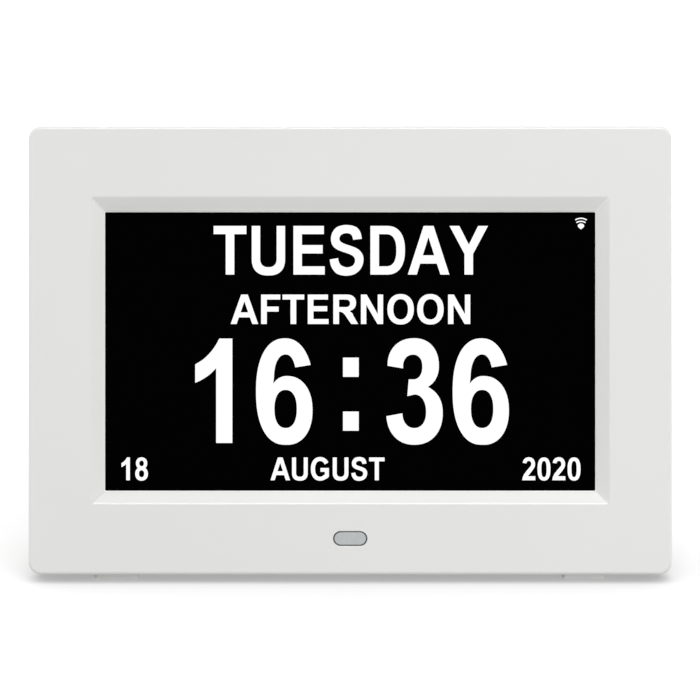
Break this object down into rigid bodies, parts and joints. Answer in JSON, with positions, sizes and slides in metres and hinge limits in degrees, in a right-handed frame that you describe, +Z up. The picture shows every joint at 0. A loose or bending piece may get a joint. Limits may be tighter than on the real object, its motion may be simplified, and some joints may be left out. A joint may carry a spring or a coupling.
{
  "type": "digital day clock",
  "caption": "Free-standing digital day clock: white bevelled frame round a landscape display, rear housing with push keys and sockets, and a fold-out easel stand.",
  "frame": {"origin": "on the surface that the clock stands on, under the middle of its overall box (stand opened)", "axes": "+X to the right as the user looks at the display, -Y towards the user, +Z up; the face leans back by 15 degrees"},
  "size_m": [0.233, 0.086, 0.1601],
  "materials": {
    "bezel_gloss_white": "gloss white moulding",
    "back_satin_white": "finely textured white moulding",
    "key_white": "satin white caps",
    "ir_lens": "pale translucent grey, lets infrared through",
    "rubber_grey": "soft grey rubber",
    "foam_black": "closed cell foam tape",
    "screen_black": "display glass with an anti-glare surface",
    "diffuser_white": "diffuser and prism films",
    "guide_clear": "clear moulded light guide",
    "tray_white": "white reflector tray",
    "led_yellow": "phosphor covered LEDs on a thin board",
    "thin_steel": "tin plated or stainless sheet",
    "pin_steel": "zinc plated steel",
    "board_green": "glass fibre board with solder mask",
    "chip_black": "black moulded epoxy and nylon",
    "plunger_black": "black switch actuators",
    "connector_ivory": "natural nylon",
    "can_aluminium": "bare aluminium cans",
    "flex_amber": "polyimide film with copper tracks",
    "ribbon_grey": "grey PVC insulation",
    "lead_red": "red and black PVC insulation",
    "basket_black": "black pressed steel",
    "cone_paper": "black paper cone with a rolled edge",
    "magnet_steel": "nickel plated magnet cup"
  },
  "bodies": {
    "housing": {"front_bezel": "bezel_gloss_white", "ir_window": "ir_lens", "display_gasket": "foam_black", "lcd_frame": "thin_steel", "lcd_glass": "screen_black", "lcd_diffuser": "diffuser_white", "lcd_light_guide": "guide_clear", "led_bar": "led_yellow", "lcd_back_tray": "tray_white", "lcd_clips": "thin_steel", "clip_screws": "pin_steel", "lcd_flex": "flex_amber", "flex_connector": "connector_ivory", "main_board": "board_green", "board_chips": "chip_black", "board_capacitors": "can_aluminium", "coin_cell_holder": "chip_black", "coin_cell": "thin_steel", "lead_headers": "connector_ivory", "board_screws": "pin_steel", "dc_jack": "chip_black", "usb_port": "thin_steel", "usb_tongue": "connector_ivory", "sd_socket": "thin_steel", "key_board": "board_green", "key_switches": "chip_black", "key_ribbon": "ribbon_grey", "ir_receiver": "chip_black", "ir_board": "board_green", "ir_screws": "pin_steel", "ir_lead": "ribbon_grey", "speaker_basket": "basket_black", "speaker_cone": "cone_paper", "speaker_magnet": "magnet_steel", "speaker_lead": "lead_red", "rear_cover": "back_satin_white", "cover_screws": "pin_steel", "foot_left": "rubber_grey", "foot_right": "rubber_grey", "hinge_pin": "pin_steel"},
    "stand": {"stand_leg": "back_satin_white", "leg_pad": "rubber_grey"},
    "power_key": {"key_power": "key_white", "plunger_power": "plunger_black"},
    "menu_key": {"key_menu": "key_white", "plunger_menu": "plunger_black"},
    "left_key": {"key_left": "key_white", "plunger_left": "plunger_black"},
    "up_key": {"key_up": "key_white", "plunger_up": "plunger_black"},
    "down_key": {"key_down": "key_white", "plunger_down": "plunger_black"},
    "right_key": {"key_right": "key_white", "plunger_right": "plunger_black"},
    "ok_key": {"key_ok": "key_white", "plunger_ok": "plunger_black"}
  },
  "joints": [
    {"name": "stand_hinge", "type": "hinge", "parent": "housing", "child": "stand", "pos_m": [0, 0.00778, 0.10573], "axis": [1, 0, 0], "range_deg": [-32, 0]},
    {"name": "power_press", "type": "slide", "parent": "housing", "child": "power_key", "axis": [0, -0.9659, 0.2588], "range_m": [0, 0.0005], "stiffness_N_per_m": 600, "springref_m": -0.0008},
    {"name": "menu_press", "type": "slide", "parent": "housing", "child": "menu_key", "axis": [0, -0.9659, 0.2588], "range_m": [0, 0.0005], "stiffness_N_per_m": 600, "springref_m": -0.0008},
    {"name": "left_press", "type": "slide", "parent": "housing", "child": "left_key", "axis": [0, -0.9659, 0.2588], "range_m": [0, 0.0005], "stiffness_N_per_m": 600, "springref_m": -0.0008},
    {"name": "up_press", "type": "slide", "parent": "housing", "child": "up_key", "axis": [0, -0.9659, 0.2588], "range_m": [0, 0.0005], "stiffness_N_per_m": 600, "springref_m": -0.0008},
    {"name": "down_press", "type": "slide", "parent": "housing", "child": "down_key", "axis": [0, -0.9659, 0.2588], "range_m": [0, 0.0005], "stiffness_N_per_m": 600, "springref_m": -0.0008},
    {"name": "right_press", "type": "slide", "parent": "housing", "child": "right_key", "axis": [0, -0.9659, 0.2588], "range_m": [0, 0.0005], "stiffness_N_per_m": 600, "springref_m": -0.0008},
    {"name": "ok_press", "type": "slide", "parent": "housing", "child": "ok_key", "axis": [0, -0.9659, 0.2588], "range_m": [0, 0.0005], "stiffness_N_per_m": 600, "springref_m": -0.0008}
  ]
}
